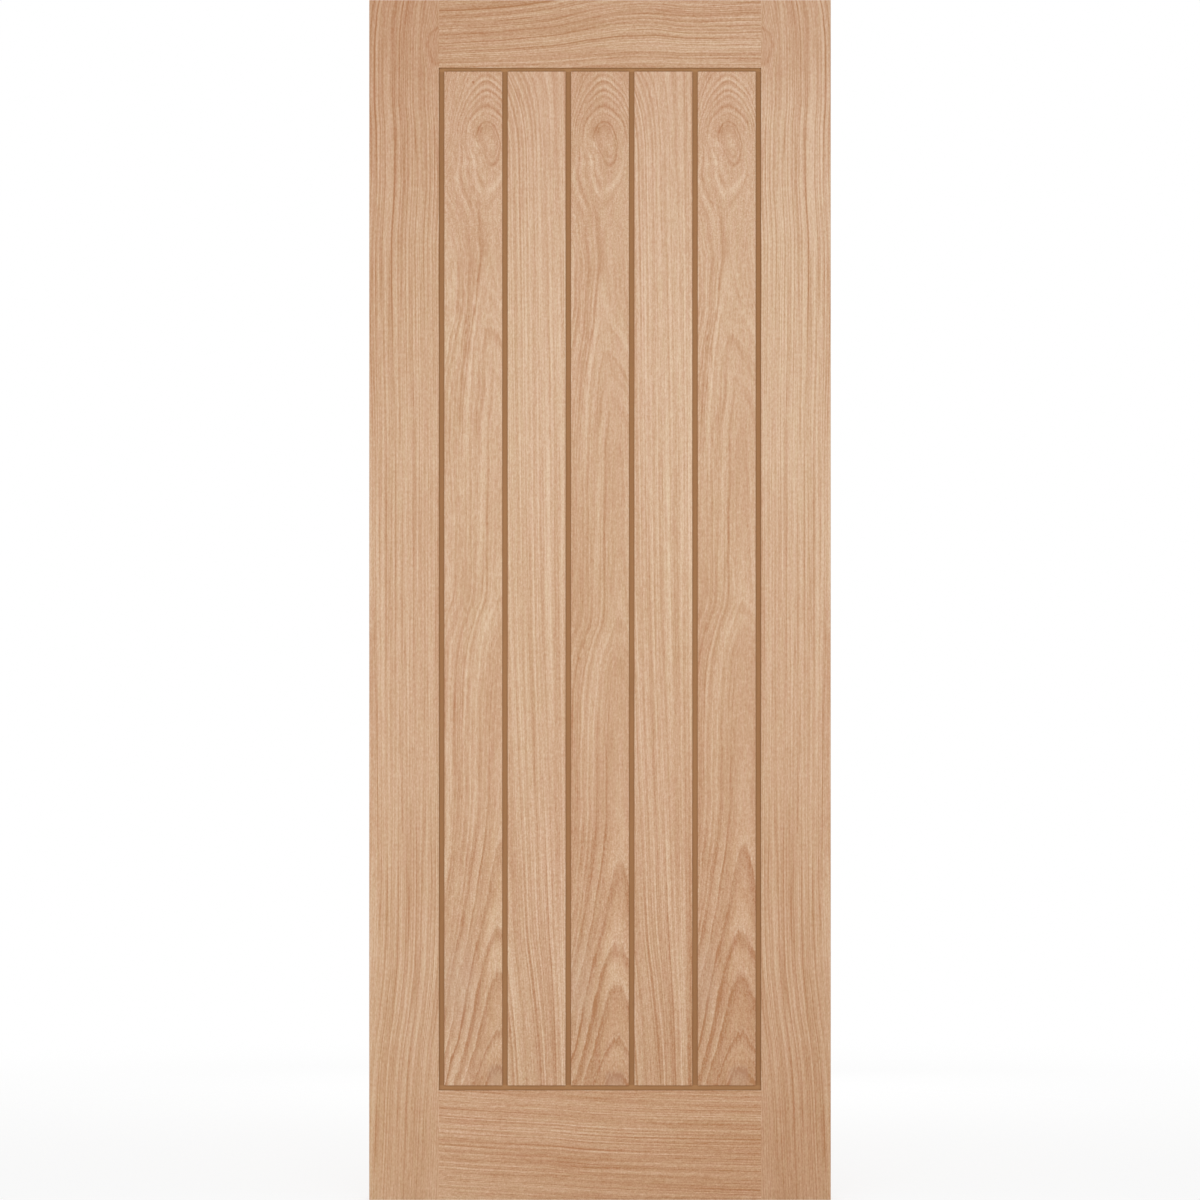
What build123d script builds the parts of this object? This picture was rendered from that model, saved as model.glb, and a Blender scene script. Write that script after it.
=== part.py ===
from build123d import *
import os

# A boarded oak fire door leaf, 762 x 1981 x 44 mm. All sizes are in millimetres.
#
# Two full-height stiles and two rails carry a panel that is faced, front and back, with upright boards.
# Square channels part the boards from each other and from the frame, and the brown panel shows in them.
# Stiles and rails are engineered cores with sliced oak on both faces, and a solid oak lipping closes
# each long edge. One groove runs round the inside of the frame, and the panel's tongue and the tongues
# on the rails' ends sit in it.
#
# x runs across the leaf from the hinge edge, y from the front face to the back face, z up from the foot.
# The origin is at the foot of the hinge edge, at the middle of the thickness.

# The leaf
leaf_width = 762.0
leaf_height = 1981.0
leaf_thickness = 44.0
edge_arris = 1.0  # planed off the four long corners of the finished leaf

# Stiles and rails, measured over the face
stile_width = 115.0
top_rail_depth = 112.0
bottom_rail_depth = 181.0
lipping_width = 8.0
veneer_thickness = 0.6

# The boarded faces of the panel
board_count = 5
board_thickness = 4.0
board_arris = 0.5
side_channel = 9.0  # between two boards, and between a board and a stile
top_channel = 6.0
bottom_channel = 8.0

# The groove round the inside of the frame, and what sits in it
groove_width = 14.0
groove_depth = 12.0
tongue_side_gap = 0.2  # glue room on each cheek
tongue_end_gap = 1.0  # room at the bottom of the groove
panel_gap = 0.3  # panel to frame, on all four sides

# Sizes that follow from those above
core_thickness = leaf_thickness - 2 * veneer_thickness
rail_length = leaf_width - 2 * stile_width
tongued_length = rail_length + 2 * (groove_depth - tongue_end_gap)
tongue_thickness = groove_width - 2 * tongue_side_gap
panel_thickness = leaf_thickness - 2 * board_thickness
opening_top = leaf_height - top_rail_depth
opening_height = opening_top - bottom_rail_depth
tongued_height = opening_height + 2 * (groove_depth - tongue_end_gap)
board_width = (rail_length - (board_count + 1) * side_channel) / board_count
board_length = opening_height - top_channel - bottom_channel

# The planes that the leaf repeats itself about
middle_of_width = Plane.YZ.offset(leaf_width / 2)
middle_of_thickness = Plane.XZ


def arrised_leaf():
    """The whole leaf in outline, with its four long corners eased."""
    section = Rectangle(leaf_width, leaf_thickness, align=(Align.MIN, Align.CENTER))
    return extrude(chamfer(section.vertices(), edge_arris), leaf_height)


def stile_core():
    """The left stile's core: a plain section with the groove ploughed in its inner edge."""
    width = stile_width - lipping_width
    section = Rectangle(width, core_thickness, align=(Align.MIN, Align.CENTER))
    section -= Pos(width) * Rectangle(groove_depth, groove_width, align=(Align.MAX, Align.CENTER))
    return Pos(lipping_width) * extrude(section, leaf_height)


def edge_lipping():
    """The left edge's solid oak strip, planed to the leaf's arris."""
    section = Rectangle(lipping_width, core_thickness, align=(Align.MIN, Align.CENTER))
    return extrude(section, leaf_height) & arrised_leaf()


def across_the_leaf(section, length):
    """A section drawn in y and z, carried across the middle of the leaf."""
    return extrude(middle_of_width * section, length / 2, both=True)


def rail_core(depth):
    """The core of a rail that stands on z = 0: tongued at its ends, and grooved in its upper edge."""
    body = Rectangle(core_thickness, depth, align=(Align.CENTER, Align.MIN))
    tongue = Rectangle(tongue_thickness, depth, align=(Align.CENTER, Align.MIN))
    groove = Pos(0, depth) * Rectangle(groove_width, groove_depth, align=(Align.CENTER, Align.MAX))
    rail = across_the_leaf(body, rail_length) + across_the_leaf(tongue, tongued_length)
    return rail - across_the_leaf(groove, tongued_length)


def facing_front(x, y, z):
    """A plane to draw on through a point, seen from the front."""
    return Plane((x, y, z), x_dir=(1, 0, 0), z_dir=(0, -1, 0))


def panel_core():
    """The panel behind the boards: a thick field, with a thinner tongue all round in the frame's groove."""
    centre = facing_front(leaf_width / 2, 0, bottom_rail_depth + opening_height / 2)
    field = Rectangle(rail_length - 2 * panel_gap, opening_height - 2 * panel_gap)
    tongue = Rectangle(tongued_length, tongued_height)
    panel = extrude(centre * field, panel_thickness / 2, both=True)
    return panel + extrude(centre * tongue, tongue_thickness / 2, both=True)


def on_the_front(x, z, width, height, thickness):
    """A flat piece in the front of the leaf, from its lower left corner."""
    corner = facing_front(x, -leaf_thickness / 2, z)
    return extrude(corner * Rectangle(width, height, align=(Align.MIN, Align.MIN)), -thickness)


def board(number):
    """One upright board of the front, with its face eased all round where it meets the channels."""
    x = stile_width + side_channel + (number - 1) * (board_width + side_channel)
    blank = on_the_front(x, bottom_rail_depth + bottom_channel, board_width, board_length, board_thickness)
    face = blank.faces().sort_by(Axis.Y)[0]
    return chamfer(face.edges(), board_arris)


def frame_pieces():
    """The cores of the stiles and rails, and the two lippings, by name."""
    upright_top_rail = mirror(rail_core(top_rail_depth), about=Plane.XY)
    return {
        "left_stile_core": stile_core(),
        "right_stile_core": mirror(stile_core(), about=middle_of_width),
        "left_edge_lipping": edge_lipping(),
        "right_edge_lipping": mirror(edge_lipping(), about=middle_of_width),
        "bottom_rail_core": rail_core(bottom_rail_depth),
        "top_rail_core": Pos(0, 0, leaf_height) * upright_top_rail,
    }


def face_pieces():
    """The oak of the front face: the frame's veneers and the boards, by names that lack their side."""
    stile = on_the_front(0, 0, stile_width, leaf_height, veneer_thickness) & arrised_leaf()
    pieces = {
        "left_stile_{}_veneer": stile,
        "right_stile_{}_veneer": mirror(stile, about=middle_of_width),
    }
    for name, foot, depth in (("bottom", 0, bottom_rail_depth), ("top", opening_top, top_rail_depth)):
        rail = on_the_front(stile_width, foot, rail_length, depth, veneer_thickness)
        pieces[name + "_rail_{}_veneer"] = rail
    for number in range(1, board_count + 1):
        pieces["{}_board_" + str(number)] = board(number)
    return pieces


def door_leaf():
    """Every piece of the leaf, by name. The back face repeats the front."""
    pieces = frame_pieces()
    pieces["panel_core"] = panel_core()
    for name, piece in face_pieces().items():
        pieces[name.format("front")] = piece
        pieces[name.format("back")] = mirror(piece, about=middle_of_thickness)
    return pieces


os.makedirs("parts", exist_ok=True)
for name, piece in door_leaf().items():
    export_step(piece.solid(), f"parts/{name}.step")
    print(name, round(piece.solid().volume), "mm3")
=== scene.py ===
import math

import bpy
import numpy as np
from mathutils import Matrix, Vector


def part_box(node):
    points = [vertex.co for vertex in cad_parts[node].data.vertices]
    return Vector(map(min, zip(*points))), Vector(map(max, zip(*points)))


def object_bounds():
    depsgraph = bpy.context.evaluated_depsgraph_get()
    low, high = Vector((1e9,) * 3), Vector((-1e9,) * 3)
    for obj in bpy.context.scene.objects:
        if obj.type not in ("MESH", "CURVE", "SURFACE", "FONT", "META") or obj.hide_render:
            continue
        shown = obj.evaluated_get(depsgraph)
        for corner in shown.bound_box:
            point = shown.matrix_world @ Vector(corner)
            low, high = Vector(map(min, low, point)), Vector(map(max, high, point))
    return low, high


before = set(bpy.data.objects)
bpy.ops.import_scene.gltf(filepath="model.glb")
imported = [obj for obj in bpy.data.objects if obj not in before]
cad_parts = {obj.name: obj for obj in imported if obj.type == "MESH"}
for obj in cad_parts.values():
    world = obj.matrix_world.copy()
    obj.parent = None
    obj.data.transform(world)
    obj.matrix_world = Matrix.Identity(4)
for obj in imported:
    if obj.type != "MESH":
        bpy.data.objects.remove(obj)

# The finishes of a boarded oak fire door leaf, and the white studio that it is shown in. Every piece of
# the leaf keeps its CAD shape. Lengths are in metres in the scene, and in millimetres inside the
# materials. x runs across the leaf, y from its front to its back, z up from its foot.

MM = 1000.0
CAD_LOW, CAD_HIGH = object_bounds()
LEAF_WIDTH = CAD_HIGH.x * MM
LEAF_HEIGHT = CAD_HIGH.z * MM
FACE_DEPTH = CAD_HIGH.y * MM  # from the middle of the leaf to either face
STILE_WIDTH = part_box("top_rail_front_veneer")[0].x * MM
TOP_RAIL_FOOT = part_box("top_rail_front_veneer")[0].z * MM
BOTTOM_RAIL_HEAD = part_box("bottom_rail_front_veneer")[1].z * MM
FACES = ("front", "back")
STILES = ("left_stile", "right_stile")
BOARDS = range(1, 6)
FLOWERED_BOARDS = (1, 3, 5)
NEXT_FACE = 40.0  # added to a seed for the back face, so that its fine grain is its own


def from_srgb(red, green, blue):
    """A colour as a paint chart gives it, 0 to 255, turned into the linear colour that a shader takes."""
    chart = np.array((red, green, blue)) / 255.0
    linear = np.where(chart <= 0.04045, chart / 12.92, ((chart + 0.055) / 1.055) ** 2.4)
    return (*linear.tolist(), 1.0)


# The two oaks are each a dark, a middle and a pale tone.
ROSY_OAK = (from_srgb(179.5, 126, 90), from_srgb(205.5, 164.5, 134), from_srgb(230.5, 201.5, 175))
GOLDEN_OAK = (from_srgb(175.5, 130, 87), from_srgb(201.5, 167.5, 130), from_srgb(226.5, 203.5, 169))
AMBER = from_srgb(200, 140, 60)  # a breath of it warms the bottom rail, a stile's foot and the flames
GREY_OAK = from_srgb(190, 160, 140)  # a little of it cools the flowered boards low down
BROWN_STAIN = from_srgb(175, 129, 87)
BROWN_STAIN_DEEP = from_srgb(163, 118, 77)
# painted light: a paler brown that lifts the shade in the narrow channels along the panel's head and foot
BROWN_STAIN_PAINTED_LIGHT = from_srgb(183, 136.5, 92)
CORE_PALE = from_srgb(217, 178, 136)
CORE_DARK = from_srgb(176, 128, 88)
WHITE = (1.0, 1.0, 1.0, 1.0)
FLOOR_PAINT = (0.9, 0.9, 0.9, 1.0)

BUMP_STRENGTH = 0.6
OAK_GLOSS = 0.12  # the specular level of all the wood here, which is only just sealed
PORE_DEPTH = 0.6  # of a pore, where the step from dark to pale oak is 1
FACE_RELIEF = 0.0001  # the height of the bump on each kind of surface, in metres
LIPPING_RELIEF = 0.0002
CORE_RELIEF = 0.0001
PANEL_RELIEF = 0.00008


class Term:
    """A value that changes over a surface: one socket, whose operators add Math nodes to its finish."""

    def __init__(self, finish, socket):
        self.finish = finish
        self.socket = socket

    def __add__(self, other):
        return self.finish.maths("ADD", self, other)

    __radd__ = __add__

    def __sub__(self, other):
        return self.finish.maths("SUBTRACT", self, other)

    def __rsub__(self, other):
        return self.finish.maths("SUBTRACT", other, self)

    def __mul__(self, other):
        return self.finish.maths("MULTIPLY", self, other)

    __rmul__ = __mul__

    def __truediv__(self, other):
        return self.finish.maths("DIVIDE", self, other)

    def __rtruediv__(self, other):
        return self.finish.maths("DIVIDE", other, self)

    def __pow__(self, power):
        return self.finish.maths("POWER", self, power)

    def __abs__(self):
        return self.finish.maths("ABSOLUTE", self)


class Finish:
    """A material or the world while it is written: its nodes, and one method that adds any node."""

    def __init__(self, owner):
        owner.use_nodes = True
        self.owner = owner
        self.tree = owner.node_tree
        self.tree.nodes.clear()

    def node(self, kind, settings=None, sockets=None, output=0):
        """Adds a node: its settings first, then its sockets' values or links. Gives one output."""
        node = self.tree.nodes.new(kind)
        for name, value in (settings or {}).items():
            if name == "curve":
                self.draw_curve(node.mapping, value)
            else:
                setattr(node, name, value)
        for name, value in (sockets or {}).items():
            if isinstance(value, Term):
                self.tree.links.new(value.socket, node.inputs[name])
            else:
                node.inputs[name].default_value = value
        return Term(self, node.outputs[output]) if len(node.outputs) else None

    @staticmethod
    def draw_curve(mapping, points):
        """Puts a Float Curve's points where they are asked for, the first and last being there already."""
        curve = mapping.curves[0]
        for _ in points[2:]:
            curve.points.new(0.5, 0.5)
        for point, spot in zip(curve.points, points):
            point.location = spot
            point.handle_type = "AUTO_CLAMPED"
        mapping.update()

    def maths(self, operation, *values):
        """A Math node on values."""
        return self.node("ShaderNodeMath", {"operation": operation}, dict(enumerate(values)))

    def smooth(self, value, low, high):
        """Rises from 0 at low to 1 at high, with an easy start and end."""
        sockets = {"Value": value, "From Min": low, "From Max": high}
        return self.node("ShaderNodeMapRange", {"interpolation_type": "SMOOTHSTEP"}, sockets)

    def blend(self, factor, first, second):
        """The first colour where factor is 0, the second where it is 1. A Mix keeps colours in 6 and 7."""
        return self.node("ShaderNodeMix", {"data_type": "RGBA"}, {0: factor, 6: first, 7: second}, 2)

    def noise(self, across, along, seed, detail=0.0, roughness=0.5):
        """Smooth noise about 0, stretched as its two coordinates are. Each seed is a slice of its own."""
        spot = self.node("ShaderNodeCombineXYZ", {}, {"X": across, "Y": along, "Z": 0.73 * seed + 0.41})
        sockets = {"Vector": spot, "Scale": 1.0, "Detail": detail, "Roughness": roughness}
        return self.node("ShaderNodeTexNoise", {}, sockets) - 0.5

    def follow(self, value, table):
        """A smooth line through a table of (value, number) pairs, level beyond both its ends."""
        values, numbers = np.array(table).T
        low = numbers.min()
        rise = np.ptp(numbers)
        sockets = {"Value": value, "From Min": float(values[0]), "From Max": float(values[-1])}
        along = self.node("ShaderNodeMapRange", {}, sockets)
        points = np.stack(((values - values[0]) / np.ptp(values), (numbers - low) / rise), axis=1)
        curve = self.node("ShaderNodeFloatCurve", {"curve": points.tolist()}, {"Value": along})
        return float(low) + float(rise) * curve

    def chance(self, number):
        """A steady random number from 0 to 1 for each whole number."""
        return self.node("ShaderNodeTexWhiteNoise", {"noise_dimensions": "1D"}, {"W": number})

    def place(self):
        """The x, y and z of a point of the piece, in millimetres."""
        spot = self.node("ShaderNodeTexCoord", output="Object")
        spot = self.node("ShaderNodeVectorMath", {"operation": "SCALE"}, {"Vector": spot, "Scale": MM})
        split = self.node("ShaderNodeSeparateXYZ", {}, {"Vector": spot})
        return [Term(self, socket) for socket in split.socket.node.outputs]

    def surface(self, colour, roughness, height, relief):
        """Closes a wooden surface: its colour, its roughness, and a bump that is relief metres high."""
        bump = {"Strength": BUMP_STRENGTH, "Distance": relief, "Height": height}
        normal = self.node("ShaderNodeBump", {}, bump)
        sockets = {"Base Color": colour, "Roughness": roughness, "Normal": normal}
        sockets["Specular IOR Level"] = OAK_GLOSS
        shader = self.node("ShaderNodeBsdfPrincipled", {}, sockets)
        self.node("ShaderNodeOutputMaterial", {}, {"Surface": shader})


def new_finish(name):
    """A finish to be written, on a new material."""
    return Finish(bpy.data.materials.new(name))


def dress(node, finish):
    """Gives a CAD piece its finish, through its own material slot."""
    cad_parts[node].material_slots[0].material = finish.owner


def streak(finish, value, place, width):
    """1 where a line of the grain is, falling to 0 at its width to either side."""
    return finish.smooth(abs(value - place), width, 0.0)


def blot(finish, across, along, radius):
    """1 in the middle of a soft round patch, falling to 0 at its radius."""
    return finish.smooth((across * across + along * along) ** 0.5, radius, 0.0)


def between(finish, value, low, high, ease):
    """1 between two values, falling to 0 beyond them."""
    return finish.smooth(value, low - ease, low + ease) * finish.smooth(value, high + ease, high - ease)


def strokes(finish, value, table):
    """The sum of a table's streaks. A row gives a streak's place, how much paler it is, and its width."""
    tone = 0.0
    for place, paler, width in table:
        tone = tone + paler * streak(finish, value, place, width)
    return tone


PLAIN_OAK = {  # how much of each thing plain sliced oak has: a piece says only what is different
    "fine": 0.35,  # how much of a growth band one fine line takes
    "lines": 1.15,  # the fine lines
    "sharp": 0.0,  # how far they are narrow and dark, and not even waves
    "band": 0.2,  # the darkening of a band
    "fade": 0.7,  # where in the band it starts
    "rim": 0.0,  # the pale rim that the next band starts with
    "thread": 0.12,
    "broad": 0.2,  # slow changes from line to line
    "breadth": 10.0,  # how many lines one of those takes
    "cloud": 0.2,  # soft patches
    "fibres": 0.45,
    "grit": 0.4,
    "speck": 0.2,
    "pores": 0.12,
    "own": 0.0,  # added to the seed of all that a piece doesn't share with the next slice of its log
}
MIDDLE_TONE = 0.6
LINE_SQUARE = 0.017  # what the square of a fine line comes to on average


def oak_tone(finish, count, across, along, seed, **amounts):
    """How pale sliced oak is, from 0 to 1, and how open its pores are, from a count of growth bands.

    A band darkens towards its end, stops sharply there, and the next one starts with a pale rim. Fine lines
    follow the bands, so many to each. Threads are thin dark lines where a slow noise that follows the bands
    passes through 0. Fibres, grit and pores run along the grain.
    """
    use = {**PLAIN_OAK, **amounts}
    own = seed + use["own"]
    through = finish.maths("FRACT", count)
    vigour = 0.5 + 0.5 * finish.chance(finish.maths("FLOOR", count) + seed)
    band = finish.smooth(through, use["fade"], 0.93) ** 2.0 * finish.smooth(through, 1.0, 0.95)
    rim = finish.smooth(through, 0.14, 0.0)
    each = count / use["fine"]
    uneven = each + 1.7 * finish.noise(each / 4.0, along / 800.0, seed + 1.0)
    slow = finish.noise(uneven / 3.2, along / 700.0, seed + 2.0)
    threads = finish.smooth(abs(slow), 0.055, 0.0)
    broad = finish.noise(each / use["breadth"], along / 600.0, seed + 3.0, 1.0)
    lines = finish.noise(uneven, along / 650.0, seed + 5.0, 1.0, 0.6)
    lines = lines - use["sharp"] * (lines * lines - LINE_SQUARE)
    sideways = across + 4.0 * finish.noise(across / 17.0, along / 300.0, own + 10.0)
    fibre = finish.noise(sideways / 2.6, along / 40.0, own + 6.0, 2.0, 0.65)
    grit = finish.noise(sideways / 2.0, along / 5.5, own + 9.0)
    cloud = finish.noise(across / 45.0, along / 260.0, own + 8.0, 1.0)
    pore = finish.smooth(finish.noise(sideways / 1.6, along / 14.0, own + 7.0), 0.12, 0.32)
    speck = finish.noise(across / 2.1, along / 2.5, own + 11.0)
    grain = use["broad"] * broad + use["lines"] * lines + use["fibres"] * fibre
    grain = grain + use["grit"] * grit + use["cloud"] * cloud + use["speck"] * speck
    bands = use["rim"] * rim - vigour * use["band"] * band
    return MIDDLE_TONE + grain + bands - use["thread"] * threads - use["pores"] * pore, pore


def painted_light_falloff(finish, x, z):
    """Painted light falloff over the leaf: painted shade at its head, its foot and low down, painted light
    high up.

    Across and up run from -1 to 1 over the leaf. The falloff is a little across, their product, and a cubic
    of up.
    """
    across = x / (LEAF_WIDTH / 2) - 1.0
    up = z / (LEAF_HEIGHT / 2) - 1.0
    # painted shade: the leaf's head and foot are darkened as if the light fell off there
    ends = 0.06 * finish.smooth(z, 1600.0, LEAF_HEIGHT) + 0.1 * finish.smooth(z, 850.0, 0.0)
    return 0.0085 + across * (0.016 + 0.117 * up) + up * (0.14 - 0.16 * up * up) - ends


def oak_colour(finish, pale, golden):
    """Dark, middle and pale oak by tone, between rosy and golden."""
    dark, middle, light = [finish.blend(golden, *pair) for pair in zip(ROSY_OAK, GOLDEN_OAK)]
    lower = finish.blend(2.0 * pale, dark, middle)
    return finish.blend(2.0 * pale - 1.0, lower, light)


def brown_stain(finish, across, along, seed):
    """The stained brown of the channels: nearly even, with faint streaks along them. Gives its colour."""
    fibre = finish.noise(across / 1.8, along / 90.0, seed, 2.0)
    cloud = finish.noise(across / 40.0, along / 160.0, seed + 1.0, 1.0)
    return finish.blend(0.5 + 1.1 * fibre + 0.7 * cloud, BROWN_STAIN_DEEP, BROWN_STAIN)


STAIN_START = 0.52  # how far under the face the stain of a channel starts on a piece's sides
STAIN_FULL = 0.6
USUAL_GOLD = 0.3  # how far the oak is golden, and not rosy


def finish_face(finish, tones, across, along, seed, place, golden=0.0, tints=()):
    """Oak on the face of a piece, and brown stain on its sides where they stand in a channel.

    Tones are how pale it is and its pores. Golden is added to the usual gold. A tint is an amount and a
    colour: so much of that colour goes into the oak.
    """
    x, y, z = place
    pale, pore = tones
    # painted light falloff: the oak is darker at the leaf's head, foot and lower right, and paler high up,
    # as if lit so
    pale = pale + painted_light_falloff(finish, x, z)
    hue = finish.noise(across / 5.0, along / 45.0, seed + 17.0, 2.0)
    hue = hue + 0.4 * finish.noise(across / 60.0, along / 400.0, seed + 18.0)
    hue = hue + 0.1 * finish.smooth(z, 500.0, 0.0) - 0.2 * finish.smooth(z, 1450.0, 1900.0)
    oak = oak_colour(finish, pale, USUAL_GOLD + golden + hue)
    for amount, colour in tints:
        oak = finish.blend(amount, oak, colour)
    sunk = finish.smooth(FACE_DEPTH - abs(y), STAIN_START, STAIN_FULL)
    stained = finish.blend(sunk, oak, brown_stain(finish, across, along, seed))
    roughness = 0.56 + 0.12 * pore - 0.1 * (pale - 0.5)
    finish.surface(stained, roughness, pale - PORE_DEPTH * pore, FACE_RELIEF)


TONE_ZONES = {  # where along a piece it is a little paler or darker: from, to, by how much
    1: ((900.0, 1400.0, 0.025), (500.0, 660.0, 0.02), (1500.0, 1640.0, -0.04)),
    2: ((0.0, 300.0, -0.08), (1000.0, 1480.0, 0.015)),
    3: (
        (1600.0, 2000.0, -0.045), (1080.0, 1400.0, 0.035), (840.0, 1020.0, -0.055), (500.0, 660.0, 0.035),
    ),
    4: ((0.0, 300.0, -0.09),),
    5: (
        (1600.0, 2000.0, -0.035), (840.0, 1020.0, -0.055), (500.0, 660.0, 0.035), (0.0, 440.0, -0.035),
    ),
    "left_stile": (
        (1100.0, 1850.0, -0.02), (180.0, 480.0, 0.04), (-200.0, 120.0, -0.045), (1830.0, 2200.0, -0.055),
    ),
    "right_stile": ((180.0, 520.0, 0.05), (-200.0, 120.0, -0.04), (1830.0, 2200.0, -0.11)),
}
ZONE_EASE = 60.0


def zones(finish, along, piece):
    """The sum of a piece's slow changes of tone, each with soft ends."""
    tone = 0.0
    for low, high, paler in TONE_ZONES[piece]:
        tone = tone + paler * between(finish, along, low, high, ZONE_EASE)
    return tone


SPECKS = {  # the few small dark specks of a piece: how far across it, how high up, and the radius
    1: ((-23.4, 1845.6, 3.4), (-1.6, 647.0, 1.9)),
    5: ((4.3, 1687.0, 1.6), (14.3, 1599.6, 1.6)),
    "left_stile": ((105.9, 1436.0, 1.8),),
}
SPECK_DARKNESS = 0.6


def specks(finish, across, along, piece):
    """How dark a piece's specks make it: round blots, each darkest in its middle."""
    dark = 0.0
    for at, height, radius in SPECKS.get(piece, ()):
        dark = dark + SPECK_DARKNESS * blot(finish, across - at, along - height, radius)
    return dark


FIGURE_AXIS = (  # how far to the right of the eye the figure's axis is, by height
    (150.0, 17.5), (221.0, 17.5), (281.0, 19.0), (371.0, 18.0), (446.0, 18.0), (591.0, 22.0), (825.0, 22.5),
    (1156.0, 21.0), (1288.0, 17.6), (1362.0, 10.9), (1403.0, 6.0), (1453.0, 1.5), (1486.0, -2.5),
    (1542.0, -4.5), (1598.0, -2.0), (1667.0, 2.0), (1745.0, 0.0), (1870.0, -2.0),
)
PEAK_HEIGHTS = (  # the count of growth bands on the axis, by height: a dark peak at each whole one
    (150.0, -10.6), (190.0, -9.6), (221.0, -9.0), (281.0, -8.0), (371.0, -7.0), (446.0, -6.0),
    (591.0, -5.0), (660.0, -4.75), (825.0, -4.6), (891.0, -4.4), (924.0, -4.0), (957.0, -3.5),
    (990.0, -3.0), (1023.0, -2.9), (1255.0, -2.78), (1321.0, -2.42), (1362.0, -2.0), (1386.0, -1.6),
    (1411.0, -1.26), (1436.0, -0.95), (1453.0, -0.75), (1486.0, -0.39), (1542.0, -0.2),
    (1568.0, -0.15), (1600.0, -0.15),
)
BAND_WIDTHS = (  # how far from the axis the count is one more, by height
    (150.0, 15.2), (560.0, 15.8), (700.0, 19.0), (1362.0, 20.0), (1411.0, 22.5), (1453.0, 26.0),
    (1486.0, 30.0), (1542.0, 34.0),
)
FLAMES_FROM = 680.0  # going down, the peaks turn into strong flames between these heights
FLAMES_FULL = 560.0
FLAME_TONES = (  # how much paler the heart of each flame is, by the count of growth bands
    (-10.0, 0.03), (-9.5, 0.03), (-8.5, 0.17), (-7.5, -0.02), (-6.5, 0.15), (-5.5, 0.03),
)
FLAME_AMBER = 0.055
EYE_HEIGHT = 1745.0
EYE_COUNT = -0.88  # the least count, in the eye's middle
EYE_CLIMB = (  # how much more it is along the axis, by height from there
    (-215.0, 0.73), (-177.0, 0.72), (-143.0, 0.69), (-102.0, 0.59), (-74.0, 0.45), (-50.0, 0.3),
    (-36.0, 0.2), (-28.0, 0.155), (-11.6, 0.08), (0.0, 0.0), (18.0, 0.06), (36.0, 0.2), (49.5, 0.41),
    (62.7, 0.62), (84.0, 0.96), (104.0, 1.28), (124.0, 1.6),
)
EYE_SPREAD = (  # how wide it is, by height from there
    (-215.0, 34.0), (-177.0, 36.0), (-143.0, 40.0), (-102.0, 53.0), (-74.0, 60.0), (-45.0, 50.0),
    (-20.0, 40.0), (124.0, 40.0),
)
EYE_BEND = (  # how far to the right the eye's own middle bends, by height from there
    (-80.0, 0.0), (-60.0, 2.0), (-36.0, 6.5), (-28.0, 7.5), (-11.6, 5.0), (8.0, 0.0),
)
ARCHES = (  # the strokes over the eye: the count from its middle, how pale, how wide
    (0.41, -0.12, 0.05), (0.5, 0.06, 0.05), (0.62, -0.2, 0.065), (0.73, 0.09, 0.06), (0.83, -0.1, 0.045),
    (0.91, 0.07, 0.045), (0.99, -0.18, 0.055), (1.095, 0.17, 0.075), (1.227, -0.14, 0.045),
    (1.31, 0.14, 0.06), (1.41, -0.1, 0.045), (1.52, 0.06, 0.05),
)
STREAMS = (  # those that stream past it on its lower left
    (0.37, 0.15, 0.05), (0.46, -0.19, 0.045), (0.56, 0.17, 0.05), (0.65, -0.18, 0.045), (0.75, 0.16, 0.05),
    (0.85, -0.16, 0.05), (0.97, 0.12, 0.06),
)
EYE_OUTLINE = ((0.2, -0.3, 0.04), (0.13, -0.17, 0.025))
EYE_CUP = ((0.47, 0.2, 0.07), (0.58, -0.12, 0.045))  # those that close it below
SWIRL = ((13.0, 0.07, 5.0), (20.0, -0.04, 5.0))  # those of the curl beside it, by distance from its middle


def flower_bands(finish, u, z):
    """The count of growth bands on a flat-sawn board: height up the axis plus distance from it, in bands.

    A band shows as a tall peak, with its tip on the axis and its limbs down both sides. Gives the count,
    and how far to the right of the axis a point is.
    """
    frayed = z + 13.0 * finish.noise(u / 3.4, z / 110.0, 3.0) + 7.0 * finish.noise(u / 1.6, z / 60.0, 2.0)
    wander = 7.0 * finish.noise(u / 70.0, z / 230.0, 4.0) + 5.0 * finish.noise(u / 19.0, z / 65.0, 5.0)
    off = u - finish.follow(z, FIGURE_AXIS) + wander
    right = finish.smooth(off, -6.0, 8.0)
    blunt = 9.0 + 11.0 * right + 11.0 * finish.smooth(z, FLAMES_FROM, FLAMES_FULL)
    distance = (off * off + blunt * blunt) ** 0.5 - blunt
    spread = distance / finish.follow(z, BAND_WIDTHS) / (1.0 + 0.35 * right)
    return finish.follow(frayed, PEAK_HEIGHTS) + spread, off


def eye_bands(finish, u, z):
    """The count of growth bands round a buried knot: ovals that open upwards.

    The count is height from the eye plus distance from its bent axis, in bands. Gives the count, and the
    tone of the knot's strokes.
    """
    ripple = 2.6 * finish.noise(u / 4.0, z / 7.0, 15.0, 1.0) + 5.0 * finish.noise(u / 30.0, z / 40.0, 14.0)
    up = z - EYE_HEIGHT + ripple
    bend = finish.follow(up, EYE_BEND) * finish.smooth(abs(u), 40.0, 18.0)
    off = u - finish.follow(z, FIGURE_AXIS) - bend + 0.6 * ripple
    spread = ((off * off + 400.0) ** 0.5 - 20.0) / finish.follow(up, EYE_SPREAD)
    steep = finish.maths("MAXIMUM", abs(off) - 26.0, 0.0)
    rise = finish.follow(up, EYE_CLIMB) + spread + 0.0007 * steep * steep * finish.smooth(up, -40.0, 20.0)
    grit = 0.5 * finish.noise(u / 2.0, z / 2.3, 16.0)
    return EYE_COUNT + rise, grit + eye_strokes(finish, u, z, off, up, rise)


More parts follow.
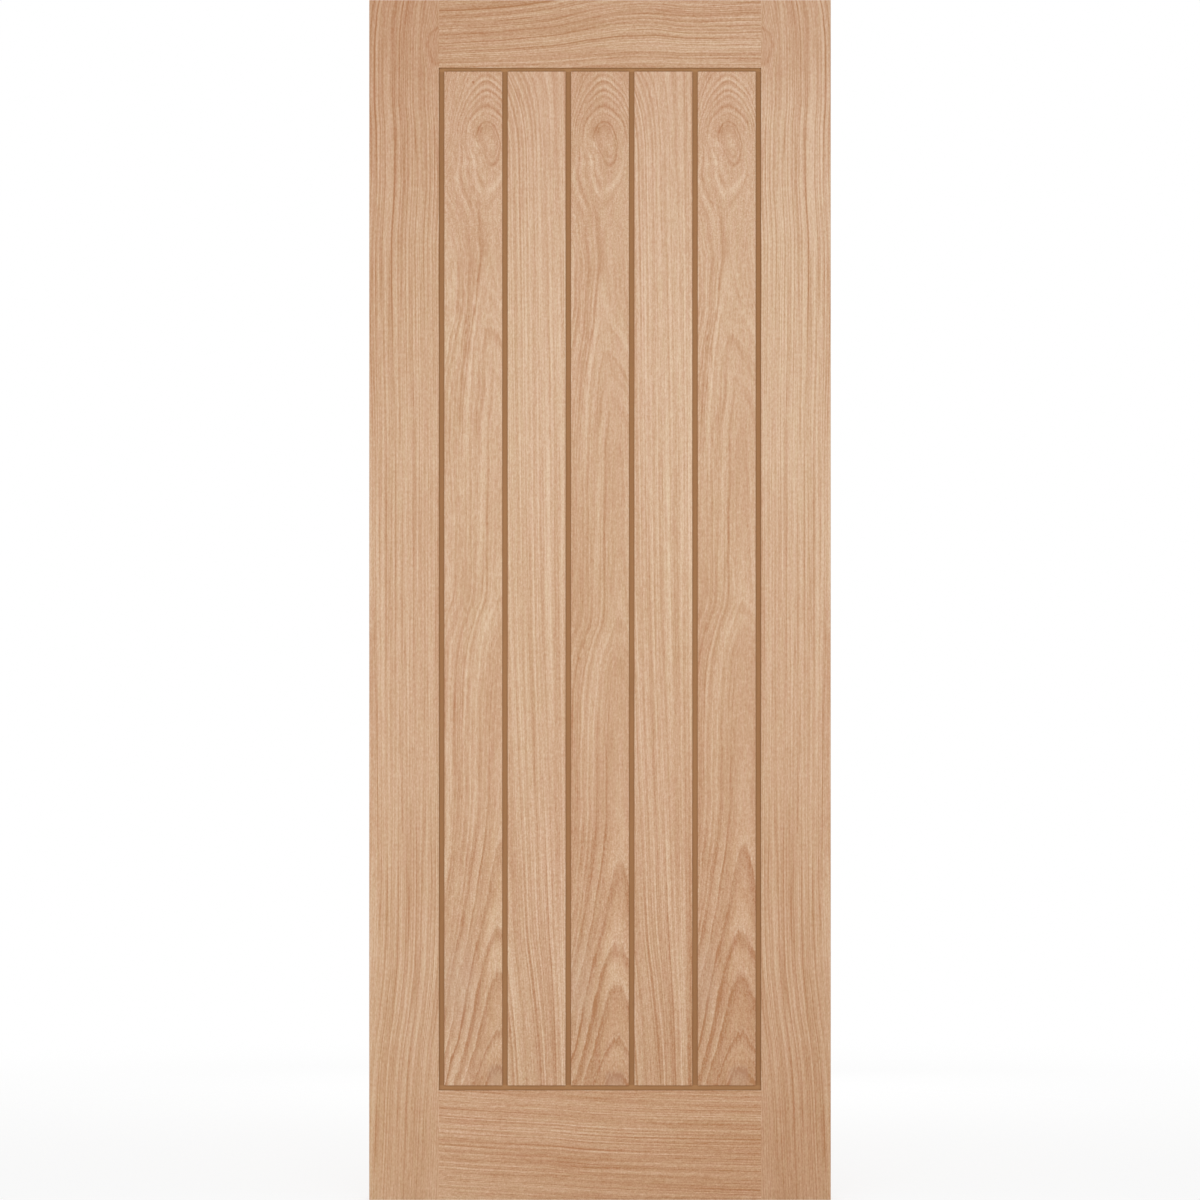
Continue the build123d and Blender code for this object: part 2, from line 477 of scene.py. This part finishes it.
def eye_strokes(finish, u, z, off, up, rise):
    """The tone of the darker and paler lines and patches that the knot draws in its eye and round it."""
    over = finish.smooth(up, -10.0, 25.0) * (0.65 + 0.35 * finish.smooth(off, -34.0, -10.0))
    over = over * (1.35 + 2.0 * finish.noise(u / 11.0, z / 16.0, 17.0))
    under = between(finish, up, -112.0, -14.0, 16.0) * finish.smooth(off, 2.0, -14.0)
    under = under * (1.1 + 2.0 * finish.noise(u / 9.0, z / 15.0, 18.0))
    right = 0.4 + 0.6 * finish.smooth(off + 0.3 * up, -22.0, -6.0)
    below = finish.smooth(up, -25.0, -60.0) * finish.smooth(off, -20.0, 8.0)
    curl = ((off + 34.0) ** 2.0 + (up + 45.0) ** 2.0) ** 0.5
    arched = finish.smooth(up + 45.0, -6.0, 6.0)
    tone = over * strokes(finish, rise, ARCHES) + under * strokes(finish, rise, STREAMS)
    tone = tone + right * strokes(finish, rise, EYE_OUTLINE) + below * strokes(finish, rise, EYE_CUP)
    tone = tone + arched * strokes(finish, curl, SWIRL)
    smudge = 0.17 * blot(finish, off + 13.0, up - 20.0, 14.0)
    flash = 0.26 * blot(finish, off + 23.0 + 0.45 * up, 0.6 * (up + 4.0), 8.0)
    patch = 0.08 * blot(finish, off + 30.0, up + 30.0, 24.0)
    inside = 0.1 * blot(finish, off - 2.0, 0.45 * (up + 12.0), 12.0)
    return tone + flash + patch + inside - smudge


FIGURE_DROP = {1: -10.0, 3: 28.0, 5: 0.0}  # how much lower the figure lies on a board, below the eye


def flowered(finish, u, z, number, seed):
    """A flat-sawn board: strong flames low down, long faint peaks above, and an eye near its head.

    The flowered boards were sliced one after another from one log, so they all show the same figure. Gives
    how pale the board is, its pores, and its tints.
    """
    drop = FIGURE_DROP[number] * finish.smooth(z, 1650.0, 1480.0)
    height = z + drop * (0.3 + 0.7 * finish.smooth(z, 200.0, 600.0))
    low_count, off = flower_bands(finish, u, height)
    eye_count, eye_tone = eye_bands(finish, u, z)
    in_eye = finish.smooth(z, 1535.0, 1600.0)
    below = 1.0 - in_eye
    count = low_count + in_eye * (eye_count - low_count)
    low_part = finish.smooth(z, FLAMES_FROM, FLAMES_FULL)
    side = finish.smooth(off, -3.0, -18.0) + 0.35 * finish.smooth(off, 3.0, 18.0)
    busy = 0.25 + 0.58 * finish.maths("MAXIMUM", side, 0.6 * low_part)
    arches = finish.smooth(z, 1750.0, 1785.0)
    beside = finish.smooth(off, -8.0 - 12.0 * arches, -28.0 - 8.0 * arches)
    uneven = 0.9 + 1.6 * finish.noise(u / 11.0, z / 60.0, 19.0) + 0.5 * finish.smooth(z, 340.0, 270.0)
    grain = {
        "fine": 0.2 - 0.1 * finish.smooth(z, 1330.0, 1500.0),
        "lines": below * (1.0 - 0.24 * low_part) * busy + in_eye * (0.2 + 0.2 * arches + 0.4 * beside),
        "sharp": 1.0,
        "band": below * (0.15 + 0.13 * low_part) * uneven,
        "fade": 0.45 - 0.1 * low_part,
        "rim": below * (0.02 + 0.07 * low_part),
        "thread": 0.1 * side * below,
        "broad": 0.38 - 0.23 * in_eye + 0.04 * low_part,
        "breadth": 3.5,
        "fibres": 0.5 - 0.1 * in_eye,
        "speck": below * (0.25 + 0.25 * low_part),
        "own": 3.0 * number,
    }
    pale, pore = oak_tone(finish, count, u, z, seed, **grain)
    marks, tints = flower_marks(finish, off, z, height, count, low_part)
    return pale + in_eye * eye_tone + marks - specks(finish, u, z, number), pore, tints


def flower_marks(finish, off, z, height, count, low_part):
    """What marks the figure of a flat-sawn board apart from its bands, and its tints.

    Two dark limbs hang from the eye on the left of the axis. The figure's heart is paler or darker by
    height, and so is the inside of each flame. A dark shoulder and a pale grey flank lie to the left of
    the flames.
    """
    left = finish.smooth(off, 6.0, -2.0)
    limbs = 0.25 * streak(finish, count, -0.13, 0.08) * between(finish, z, 1230.0, 1680.0, 60.0)
    limbs = limbs + 0.15 * streak(finish, count, 0.22, 0.07) * between(finish, z, 1330.0, 1640.0, 60.0)
    inner = finish.smooth(abs(off), 20.0, 9.0)
    heart = 0.05 * between(finish, height, 510.0, 730.0, 50.0)
    heart = heart - 0.06 * between(finish, height, 1010.0, 1290.0, 60.0)
    heart = heart - 0.06 * finish.smooth(height, 234.0, 214.0)
    through = finish.maths("FRACT", count)
    flame = finish.smooth(through, 0.02, 0.2) * finish.smooth(through, 0.8, 0.55)
    flame = low_part * flame * finish.smooth(abs(off), 30.0, 12.0)
    shoulder = between(finish, off, -35.0, -12.0, 5.0) * between(finish, height, 300.0, 430.0, 25.0)
    flank = finish.smooth(off, -34.0, -48.0) * between(finish, z, 300.0, 420.0, 40.0)
    marks = inner * heart - left * limbs - 0.11 * shoulder + 0.055 * flank
    grey = 0.15 * flank + 0.25 * inner * finish.smooth(height, 226.0, 212.0)
    tints = ((FLAME_AMBER * flame, AMBER), (grey, GREY_OAK))
    return marks + flame * finish.follow(count, FLAME_TONES), tints


LEANING = (  # how far to the right the grain of a straight board has moved, by height
    (150.0, 33.0), (190.0, 30.0), (264.0, 25.0), (363.0, 15.0), (462.0, 5.0), (594.0, 0.0), (759.0, -6.5),
    (858.0, -10.0), (1023.0, -14.0), (1436.0, -18.0), (1684.0, -22.0), (1869.0, -24.0),
)
STRAIGHT_BAND = 5.5  # from one growth band of a straight board to the next
STRONG_STREAKS = ((6.0, 1.0, 3.5), (37.0, 0.6, 3.0))  # its pale streaks low down
HIGH_PAIR = ((41.0, 1.0, 2.5), (46.0, 1.0, 2.0))  # and those high on its right


def straight_lines(finish, u, z):
    """How far a point of a straight-grained board is from its middle, along lines that lean low down."""
    lean = finish.follow(z, LEANING) * (1.0 - 0.7 * finish.smooth(u, 5.0, 50.0))
    wander = 3.5 * finish.noise(u / 120.0, z / 420.0, 7.0) + 1.0 * finish.noise(u / 25.0, z / 140.0, 8.0)
    head = finish.maths("MAXIMUM", z - 1720.0, 0.0)
    return u - lean + wander + 0.0015 * head * head * finish.smooth(u, 35.0, -50.0)


def straight(finish, u, z, number, seed):
    """A straight-grained board: pale streaks high on its right, a strong one low down.

    Gives how pale the board is, its pores, and its tints, of which it has none.
    """
    lines = straight_lines(finish, u, z)
    rough = finish.smooth(z, 800.0, 450.0)
    grain = {
        "fine": 0.46,
        "lines": 0.9 + 0.45 * rough,
        "band": 0.05,
        "thread": 0.08,
        "broad": 0.55 * finish.smooth(z, 750.0, 450.0),
        "breadth": 2.6,
        "cloud": 0.06,
        "speck": 0.25 + 0.2 * rough,
        "own": 3.0 * number,
    }
    pale, pore = oak_tone(finish, lines / STRAIGHT_BAND, u, z, seed, **grain)
    strong = finish.smooth(z, 900.0, 560.0) * strokes(finish, lines, STRONG_STREAKS)
    pair = finish.smooth(z, 1250.0, 1450.0) * strokes(finish, lines, HIGH_PAIR)
    pink = finish.smooth(z, 520.0, 330.0) * streak(finish, lines, -14.0, 22.0)
    flank = between(finish, z, 1000.0, 1480.0, 90.0) * finish.smooth(u, -5.0, 30.0)
    return pale + 0.06 * flank + 0.12 * strong + 0.03 * pair - 0.05 * pink, pore, ()


FIGURE_MIDDLE = {1: 23.0, 2: 0.0, 3: 7.5, 4: -12.0, 5: 3.3}  # from a board's middle to that of its figure
BOARD_TONES = {1: -0.02, 2: 0.01, 3: -0.07, 4: -0.015, 5: -0.065}
FLOWERED_LOG = 21.0  # the seed that all boards from one log share
STRAIGHT_LOG = 31.0
BOARD_SEED = 20.0


def finish_boards():
    """Gives each board of both faces its oak, with the figure where it lies on that board."""
    for side, face in enumerate(FACES):
        for number in BOARDS:
            finish = new_finish(f"{face}_board_{number}_oak")
            x, y, z = finish.place()
            low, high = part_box(f"{face}_board_{number}")
            u = x - (low.x + high.x) / 2 * MM - FIGURE_MIDDLE[number]
            if number in FLOWERED_BOARDS:
                pale, pore, tints = flowered(finish, u, z, number, FLOWERED_LOG + NEXT_FACE * side)
            else:
                pale, pore, tints = straight(finish, u, z, number, STRAIGHT_LOG + NEXT_FACE * side)
            pale = pale + BOARD_TONES[number] + zones(finish, z, number)
            seed = BOARD_SEED + number + NEXT_FACE * side
            finish_face(finish, (pale, pore), x, z, seed, (x, y, z), tints=tints)
            dress(f"{face}_board_{number}", finish)


STILE_DRIFT = (  # how far the grain of a stile has moved towards its outer edge, by height
    (0.0, 34.0), (200.0, 25.0), (330.0, 10.0), (445.0, 2.0), (700.0, 0.0), (1240.0, 0.0), (1440.0, 2.0),
    (1560.0, 2.5), (1640.0, -0.5), (1700.0, -2.5), (1766.0, -2.0), (1824.0, 1.0), (1882.0, 1.0),
    (1948.0, -2.0), (1981.0, -7.0),
)
STILE_STREAKS = (  # its dark lines: how far in, how dark, how wide, from where up it comes and is full
    (40.0, 0.26, 2.6, 1150.0, 1350.0),
    (5.0, 0.2, 2.6, 850.0, 1150.0),
    (17.0, 0.2, 2.2, 850.0, 1150.0),
)
KNOT_IN = 119.0  # the half knot at a stile's inner edge: how far in, how high, and how far it reaches
KNOT_HEIGHT = 1905.0
KNOT_REACH_IN = 42.0
KNOT_REACH_UP = 60.0
STILE_SEED = 41.0
FOOT_AMBER = 0.035  # how much warmer the left stile is at its foot


def stile_knot(x, z):
    """How far a point is from the half knot at a stile's inner edge: 1 is the end of the knot's reach."""
    return (((x - KNOT_IN) / KNOT_REACH_IN) ** 2.0 + ((z - KNOT_HEIGHT) / KNOT_REACH_UP) ** 2.0) ** 0.5


def stile_lines(finish, x, z):
    """How far in from its outer edge a line of a stile's grain starts, with a knot at the inner edge."""
    wander = 2.0 * finish.noise(x / 110.0, z / 420.0, 8.0) + 1.2 * finish.noise(x / 30.0, z / 130.0, 9.0)
    bulge = 15.0 * (1.0 - finish.smooth(stile_knot(x, z), 0.0, 1.0))
    return x + wander + finish.follow(z, STILE_DRIFT) + bulge


def stile(finish, x, z, seed):
    """How pale a stile is, and its pores, by the distance in from its outer edge.

    The growth bands get narrower inwards: their count is that distance and a little of its square. Three
    broken dark lines run high up, and a dark ring lies round the half knot.
    """
    lines = stile_lines(finish, x, z)
    count = lines / 12.0 + 0.00072 * lines * lines
    grain = {"fine": 0.36, "lines": 0.95, "sharp": 2.0, "band": 0.18, "thread": 0.26, "broad": 0.1}
    pale, pore = oak_tone(finish, count, x, z, seed, **grain)
    dark = 0.0
    for place, darkness, width, low, high in STILE_STREAKS:
        dark = dark + darkness * streak(finish, lines, place, width) * finish.smooth(z, low, high)
    broken = 0.75 + 1.2 * finish.noise(lines / 9.0, z / 120.0, seed + 12.0)
    knot = stile_knot(x, z) + 0.14 * finish.noise(x / 9.0, z / 14.0, seed + 13.0)
    ring = 0.22 * streak(finish, knot, 0.52, 0.1) + 0.06 * finish.smooth(knot, 0.6, 0.35)
    return pale - 0.02 - ring - broken * dark, pore


TOP_RAIL_CLIMB = (  # how far a line of the top rail's grain has climbed, by its way across the leaf
    (100.0, 0.0), (213.0, 8.0), (280.0, 15.0), (347.0, 28.0), (381.0, 34.0), (465.0, 41.0), (532.0, 37.0),
    (650.0, 39.0),
)
BOTTOM_RAIL_FALL = ((100.0, 0.0), (213.0, 8.0), (297.0, 13.0), (381.0, 20.0), (549.0, 25.0), (660.0, 27.0))
RAIL_BAND = 6.0  # from one growth band of a rail to the next


def top_rail_lines(finish, x, z):
    """The height where a line of the top rail's grain starts: lines climb to the right, high ones most."""
    share = 0.25 + 0.8 * finish.smooth(z - TOP_RAIL_FOOT, -10.0, 112.0)
    wave = 5.0 * finish.noise(x / 150.0, z / 50.0, 10.0) + 2.0 * finish.noise(x / 40.0, z / 20.0, 11.0)
    return z - share * finish.follow(x, TOP_RAIL_CLIMB) + wave


def bottom_rail_lines(finish, x, z):
    """The height where a line of the bottom rail's grain starts: lines fall a little to the right."""
    wave = 3.0 * finish.noise(x / 260.0, z / 60.0, 12.0) + 1.0 * finish.noise(x / 40.0, z / 20.0, 13.0)
    return z + finish.follow(x, BOTTOM_RAIL_FALL) + wave


def top_rail(finish, x, z, seed):
    """How pale the top rail is, and its pores: darker to the right, with the darkest threads high up."""
    count = top_rail_lines(finish, x, z) / RAIL_BAND
    thread = 0.14 + 0.16 * finish.smooth(z - TOP_RAIL_FOOT, 20.0, 100.0)
    pale, pore = oak_tone(finish, count, z, x, seed, fine=0.32, band=0.17, thread=thread, speck=0.4)
    return pale - 0.015 - 0.05 * finish.smooth(x, 200.0, 480.0), pore


def bottom_rail(finish, x, z, seed):
    """How pale the bottom rail is, and its pores: a little darker to the right."""
    count = bottom_rail_lines(finish, x, z) / RAIL_BAND
    pale, pore = oak_tone(finish, count, z, x, seed, fine=0.32, band=0.1, thread=0.17, speck=0.5)
    return pale - 0.045 - 0.03 * finish.smooth(x, 420.0, 640.0), pore


RAILS = {  # what draws a rail's tones, its seed, how much more golden it is, and its tints
    "top_rail": (top_rail, 51.0, 0.2, ()),
    "bottom_rail": (bottom_rail, 61.0, -0.12, ((0.045, AMBER),)),
}


def finish_frame_faces():
    """Gives the stiles and rails of both faces their oak. The right stile mirrors the left one."""
    for side, face in enumerate(FACES):
        seed = NEXT_FACE * side
        for name in STILES:
            finish = new_finish(f"{name}_{face}_oak")
            x, y, z = finish.place()
            edge = x if name == "left_stile" else LEAF_WIDTH - x
            pale, pore = stile(finish, edge, z, seed + STILE_SEED)
            pale = pale + zones(finish, z, name) - specks(finish, edge, z, name)
            tints = []
            if name == "left_stile":
                outer = finish.smooth(z, 1000.0, 500.0) * finish.smooth(edge, 80.0, 10.0)
                tints.append((FOOT_AMBER * (finish.smooth(z, 420.0, 60.0) + outer), AMBER))
            finish_face(finish, (pale, pore), edge, z, seed, (x, y, z), tints=tints)
            dress(f"{name}_{face}_veneer", finish)
        for name, (rail, own_seed, golden, tints) in RAILS.items():
            finish = new_finish(f"{name}_{face}_oak")
            x, y, z = finish.place()
            tones = rail(finish, x, z, seed + own_seed)
            finish_face(finish, tones, z, x, seed, (x, y, z), golden, tints)
            dress(f"{name}_{face}_veneer", finish)


LIPPINGS = ("left_edge_lipping", "right_edge_lipping")
LIPPING_BAND = 5.5  # from one growth ring of a lipping to the next
LIPPING_GOLD = 0.2


def finish_lippings():
    """Gives the solid oak of the long edges its finish: slanting rings that wander along the leaf."""
    for seed, name in enumerate(LIPPINGS):
        finish = new_finish(f"{name}_oak")
        x, y, z = finish.place()
        rings = y + 0.35 * x + 3.0 * finish.noise(y / 60.0, z / 380.0, 13.0 + seed)
        count = rings / LIPPING_BAND
        pale, pore = oak_tone(finish, count, y, z, 71.0 + 9.0 * seed, fine=0.45, band=0.1)
        colour = oak_colour(finish, pale, LIPPING_GOLD)
        finish.surface(colour, 0.58 + 0.1 * pore, pale - PORE_DEPTH * pore, LIPPING_RELIEF)
        dress(name, finish)


CORES = ("left_stile_core", "right_stile_core", "top_rail_core", "bottom_rail_core")
STILE_STRIP = 36.0  # how wide a strip of a stile's core is
STRIP_START = 4.0  # how far outside the leaf's edge the first one starts
RAIL_STRIP = 14.67  # how thick a strip of a rail's core is
STILE_GLUE = 0.48  # where, from a strip's middle to its edge at 0.5, the dark of the glue starts
RAIL_GLUE = 0.455
GLUE_FULL = 0.495
RING_STEP = 3.4
CHANNEL_START = 0.1  # how near the plane of a core's inner edge its brown starts
CHANNEL_FULL = 0.05


def stile_strips(finish, x, y, seed):
    """A stile's strips stand side by side, and their rings are distances from a pith outside each strip.

    Gives the count of strips, the rings, and 1 where the core stands in a channel.
    """
    strips = (x + STRIP_START) / STILE_STRIP
    strip = finish.maths("FLOOR", strips)
    pith = 60.0 * (finish.chance(strip + 0.3 + seed) - 0.5)
    aside = x - strip * STILE_STRIP - pith
    behind = y - 70.0 * finish.chance(strip + seed) + 35.0
    rings = (aside * aside + behind * behind) ** 0.5
    inner = LEAF_WIDTH / 2 - STILE_WIDTH
    channel = finish.smooth(abs(x - LEAF_WIDTH / 2), inner + CHANNEL_START, inner + CHANNEL_FULL)
    return strips, rings, channel


def rail_strips(finish, x, y, z, seed, edge):
    """A rail's strips lie behind each other, and their rings show as lines along them.

    Gives the count of strips, the rings, and 1 where the core stands in a channel.
    """
    strips = (y + FACE_DEPTH) / RAIL_STRIP
    strip = finish.maths("FLOOR", strips)
    rings = y + 23.0 * finish.chance(strip + seed) + 3.0 * finish.noise(y / 20.0, x / 300.0, 3.0 + seed)
    return strips, rings, finish.smooth(abs(z - edge), CHANNEL_START, CHANNEL_FULL)


def finish_cores():
    """Laminated softwood: end grain on the stiles' ends, long grain on the rails, brown in the channels.

    Each strip has a tone of its own, and a dark line of glue parts it from the next.
    """
    for seed, name in enumerate(CORES):
        finish = new_finish(f"{name}_softwood")
        x, y, z = finish.place()
        if "stile" in name:
            strips, rings, channel = stile_strips(finish, x, y, seed)
            glue = STILE_GLUE
            along = z
        else:
            edge = TOP_RAIL_FOOT if name == "top_rail_core" else BOTTOM_RAIL_HEAD
            strips, rings, channel = rail_strips(finish, x, y, z, seed, edge)
            glue = RAIL_GLUE
            along = x
        tone = finish.chance(finish.maths("FLOOR", strips) + 0.7 + 5.0 * seed) - 0.5
        joint = finish.smooth(abs(finish.maths("FRACT", strips) - 0.5), glue, GLUE_FULL)
        wavy = rings / RING_STEP + finish.noise(rings / 9.0, along / 500.0, 2.0 + seed)
        through = finish.maths("FRACT", wavy)
        slow = finish.noise(rings / 5.0, along / 140.0, 8.0 + seed, 2.0)
        fleck = finish.noise(x / 1.2, y / 1.2, 5.0 + seed, 2.0)
        dark = 0.2 + 0.5 * tone + 0.6 * through ** 2.0 + 0.7 * slow + 0.6 * fleck + 0.5 * joint
        wood = finish.blend(dark, CORE_PALE, CORE_DARK)
        colour = finish.blend(channel, wood, brown_stain(finish, y, along, 15.0 + seed))
        finish.surface(colour, 0.7 + 0.2 * fleck, through + fleck - joint, CORE_RELIEF)
        dress(name, finish)


def finish_panel():
    """Gives the panel its brown, with painted light making it a little paler in the shaded channels along
    its head and its foot.
    """
    finish = new_finish("panel_core_brown")
    x, _, z = finish.place()
    # painted light: the channels along the head and the foot are made paler against their shade
    head = finish.smooth(z, TOP_RAIL_FOOT - 7.0, TOP_RAIL_FOOT - 5.0)
    foot = finish.smooth(z, BOTTOM_RAIL_HEAD + 9.0, BOTTOM_RAIL_HEAD + 7.0)
    colour = finish.blend(head + 0.8 * foot, brown_stain(finish, x, z, 90.0), BROWN_STAIN_PAINTED_LIGHT)
    grit = finish.noise(x / 0.8, z / 1.4, 92.0, 1.0)
    finish.surface(colour, 0.62 + 0.2 * grit, grit, PANEL_RELIEF)
    dress("panel_core", finish)


def grid_mesh(name, points):
    """A surface from a grid of points, with a face between each four neighbours."""
    rows, columns, _ = points.shape
    corner = np.arange(rows * columns).reshape(rows, columns)
    faces = np.stack((corner[:-1, :-1], corner[1:, :-1], corner[1:, 1:], corner[:-1, 1:]), axis=-1)
    mesh = bpy.data.meshes.new(name)
    mesh.from_pydata(points.reshape(-1, 3).tolist(), [], faces.reshape(-1, 4).tolist())
    piece = bpy.data.objects.new(name, mesh)
    bpy.context.scene.collection.objects.link(piece)
    return piece


FLOOR_RADIUS = 3.2
FLOOR_MIDDLE = 0.02  # the radius of the small hole in its middle, under the leaf
FLOOR_RINGS = 24
FLOOR_SPOKES = 73
FLOOR_DROP = 0.0004  # the floor lies this far under the leaf's foot, so that the two never share a plane
FLOOR_GLOW = 0.75  # how much of the floor is plain white to the camera: the rest takes the leaf's shadow


def lay_floor():
    """A round pale floor under the leaf: distance from the middle, and angle round it, on a grid."""
    distance = np.linspace(FLOOR_MIDDLE, FLOOR_RADIUS, FLOOR_RINGS)[:, None]
    angle = np.linspace(0.0, 2.0 * math.pi, FLOOR_SPOKES)[None, :]
    across = CAD_HIGH.x / 2 + distance * np.cos(angle)
    level = np.full((FLOOR_RINGS, FLOOR_SPOKES), -FLOOR_DROP)
    floor = grid_mesh("pale_floor", np.stack((across, distance * np.sin(angle), level), axis=-1))
    finish = new_finish("pale_floor_paint")
    x, y, _ = finish.place()
    from_middle = ((x - LEAF_WIDTH / 2) ** 2.0 + y * y) ** 0.5
    fade = finish.smooth(from_middle, 0.3 * FLOOR_RADIUS * MM, 0.98 * FLOOR_RADIUS * MM)
    paint = finish.node("ShaderNodeBsdfDiffuse", {}, {"Color": FLOOR_PAINT})
    glow = finish.node("ShaderNodeEmission", {}, {"Color": WHITE, "Strength": 1.0})
    seen = finish.node("ShaderNodeLightPath", output="Is Camera Ray")
    lit = finish.node("ShaderNodeMixShader", {}, {0: FLOOR_GLOW * seen, 1: paint, 2: glow})
    clear = finish.node("ShaderNodeBsdfTransparent")
    mixed = finish.node("ShaderNodeMixShader", {}, {0: fade, 1: lit, 2: clear})
    finish.node("ShaderNodeOutputMaterial", {}, {"Surface": mixed})
    floor.data.materials.append(finish.owner)


WORLD_LIGHT = 0.75


def light_world():
    """Soft even light from all round, and plain white where the camera or gloss looks past the leaf."""
    world = bpy.data.worlds.new("white_studio")
    bpy.context.scene.world = world
    finish = Finish(world)
    path = finish.node("ShaderNodeLightPath", output="Is Camera Ray").socket.node
    looks = [Term(finish, path.outputs[f"Is {kind} Ray"]) for kind in ("Camera", "Glossy", "Transmission")]
    seen = finish.maths("MAXIMUM", finish.maths("MAXIMUM", looks[0], looks[1]), looks[2])
    light = finish.node("ShaderNodeBackground", {}, {"Color": WHITE, "Strength": WORLD_LIGHT})
    backdrop = finish.node("ShaderNodeBackground", {}, {"Color": WHITE, "Strength": 1.0})
    shader = finish.node("ShaderNodeMixShader", {}, {0: seen, 1: light, 2: backdrop})
    finish.node("ShaderNodeOutputWorld", {}, {"Surface": shader})


LAMP_SIZE = 1.6
LAMP_WATTS = 15.3
LAMP_HEIGHT = 1.15
LAMP_DISTANCE = 2.3
LAMP_ASIDE = 0.1


def hang_light(name, side):
    """A large soft lamp that faces the leaf: from the front where side is -1, from the back where 1."""
    lamp = bpy.data.lights.new(name, "AREA")
    lamp.shape = "RECTANGLE"
    lamp.size = LAMP_SIZE
    lamp.size_y = LAMP_SIZE
    lamp.energy = LAMP_WATTS
    aim = Vector((CAD_HIGH.x / 2, 0.0, LAMP_HEIGHT))
    light = bpy.data.objects.new(name, lamp)
    light.location = aim + side * Vector((LAMP_ASIDE, LAMP_DISTANCE, 0.0))
    light.rotation_euler = (aim - light.location).to_track_quat("-Z", "Y").to_euler()
    light.visible_camera = False
    bpy.context.scene.collection.objects.link(light)


LENS = 150.0
SENSOR = 36.0


def set_camera():
    """Square on to the front face, which fills the picture's height."""
    camera = bpy.data.cameras.new("camera")
    camera.lens = LENS
    camera.sensor_width = SENSOR
    distance = CAD_HIGH.z * LENS / SENSOR
    stand = bpy.data.objects.new("camera", camera)
    stand.location = (CAD_HIGH.x / 2, CAD_LOW.y - distance, CAD_HIGH.z / 2)
    stand.rotation_euler = (math.pi / 2, 0.0, 0.0)
    camera.clip_end = 4.0 * distance
    bpy.context.scene.collection.objects.link(stand)
    bpy.context.scene.camera = stand


finish_boards()
finish_frame_faces()
finish_lippings()
finish_cores()
finish_panel()
lay_floor()
light_world()
hang_light("front_light", -1.0)
hang_light("back_light", 1.0)
set_camera()
bpy.context.scene.view_settings.view_transform = "Standard"
